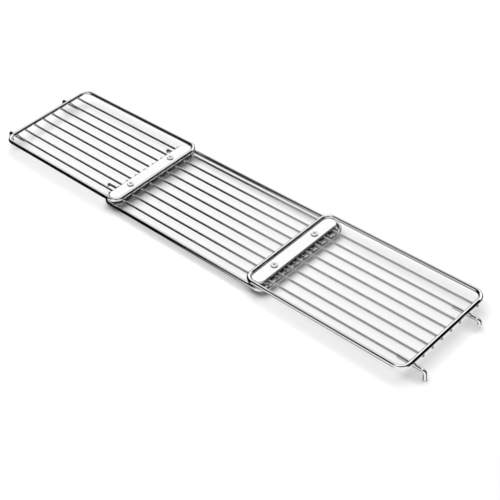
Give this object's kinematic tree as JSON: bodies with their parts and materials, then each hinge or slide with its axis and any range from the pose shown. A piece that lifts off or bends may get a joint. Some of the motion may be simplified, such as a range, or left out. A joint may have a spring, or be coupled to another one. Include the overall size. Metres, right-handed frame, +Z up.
{
  "type": "grill warming rack",
  "caption": "Long chromed wire warming rack of overlapping welded panels that telescope, held by screwed clamp plates, with bent legs at both ends.",
  "frame": {"origin": "on the standing surface under the middle of the rack", "axes": "+X along the rods to the right, +Y to the back, +Z up"},
  "size_m": [0.7032, 0.145, 0.02],
  "materials": {
    "frame_wire": "bright chrome plate on bent round wire",
    "rod_wire": "bright chrome plate on straight round wire",
    "leg_wire": "bright chrome plate on bent wire",
    "polished_plate": "polished chrome plate, soft edges",
    "plain_plate": "plain plated flat plate",
    "screw_steel": "bright zinc-plated steel"
  },
  "bodies": {
    "centre_panel": {"centre_frame": "frame_wire", "centre_rod_1": "rod_wire", "centre_rod_2": "rod_wire", "centre_rod_3": "rod_wire", "centre_rod_4": "rod_wire", "centre_rod_5": "rod_wire", "centre_rod_6": "rod_wire", "centre_rod_7": "rod_wire", "centre_rod_8": "rod_wire", "centre_rod_9": "rod_wire", "centre_peg_back": "leg_wire", "centre_peg_front": "leg_wire"},
    "left_panel": {"left_frame": "frame_wire", "left_rod_1": "rod_wire", "left_rod_2": "rod_wire", "left_rod_3": "rod_wire", "left_rod_4": "rod_wire", "left_rod_5": "rod_wire", "left_rod_6": "rod_wire", "left_rod_7": "rod_wire", "left_rod_8": "rod_wire", "left_leg_back": "leg_wire", "left_leg_front": "leg_wire", "left_clamp_top_plate": "polished_plate", "left_clamp_bottom_plate": "plain_plate", "left_clamp_screws": "screw_steel", "left_clamp_nuts": "screw_steel"},
    "right_panel": {"right_frame": "frame_wire", "right_rod_1": "rod_wire", "right_rod_2": "rod_wire", "right_rod_3": "rod_wire", "right_rod_4": "rod_wire", "right_rod_5": "rod_wire", "right_rod_6": "rod_wire", "right_rod_7": "rod_wire", "right_rod_8": "rod_wire", "right_leg_back": "leg_wire", "right_leg_front": "leg_wire", "right_clamp_top_plate": "polished_plate", "right_clamp_bottom_plate": "plain_plate", "right_clamp_screws": "screw_steel", "right_clamp_nuts": "screw_steel"}
  },
  "joints": [
    {"name": "left_slide", "type": "slide", "parent": "centre_panel", "child": "left_panel", "axis": [1, 0, 0], "range_m": [0, 0.106]},
    {"name": "right_slide", "type": "slide", "parent": "centre_panel", "child": "right_panel", "axis": [-1, 0, 0], "range_m": [0, 0.106]}
  ]
}
